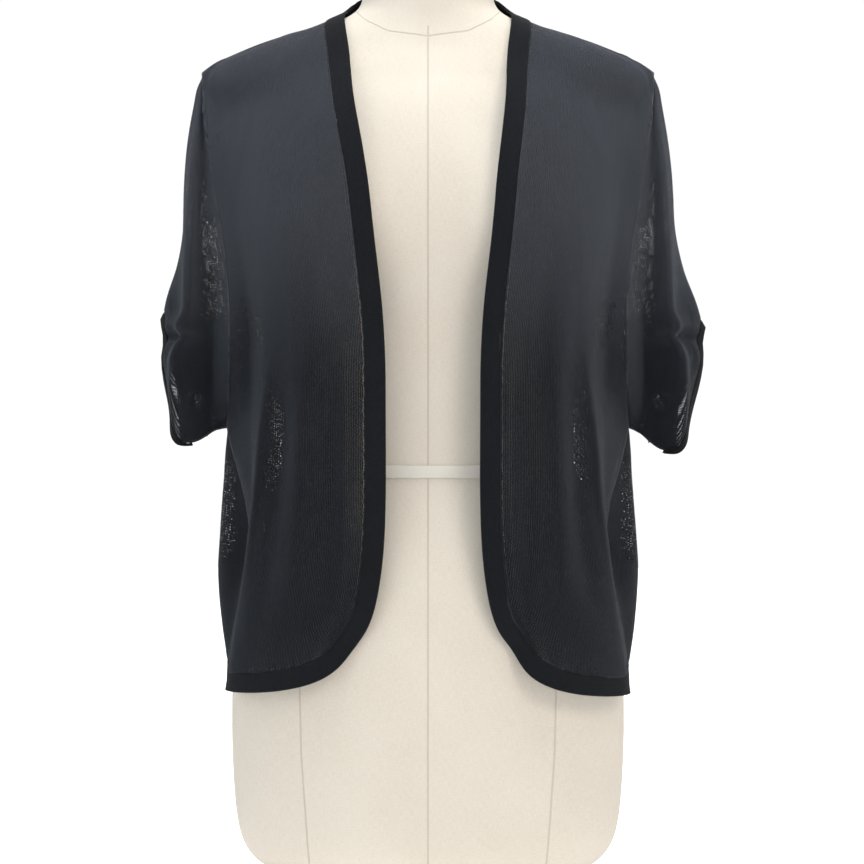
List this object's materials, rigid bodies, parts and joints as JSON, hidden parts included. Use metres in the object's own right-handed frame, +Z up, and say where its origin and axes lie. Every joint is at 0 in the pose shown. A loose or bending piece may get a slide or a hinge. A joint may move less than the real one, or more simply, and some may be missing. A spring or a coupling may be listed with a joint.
{
  "type": "knitted shrug on a dress form",
  "caption": "Open-front knitted shrug with short wide sleeves and a continuous band, worn on a limbless dress form.",
  "frame": {"origin": "centre of the dress form's flat underside", "axes": "+Z up the form, -Y towards the garment's open front, +X to its left side"},
  "size_m": [0.4859, 0.2619, 0.827],
  "materials": {
    "knit": "fine sheer plain knit",
    "band": "double layer knit band",
    "linen": "matt woven linen cover",
    "tape": "woven cotton tape"
  },
  "bodies": {
    "root": {"dress_form": "linen", "waist_tape": "tape", "back": "knit", "front_right": "knit", "front_left": "knit", "sleeve_right": "knit", "sleeve_left": "knit", "front_band_right": "band", "front_band_left": "band", "neck_band": "band", "back_hem_band": "band", "sleeve_hem_right": "band", "sleeve_hem_left": "band"}
  },
  "joints": []
}
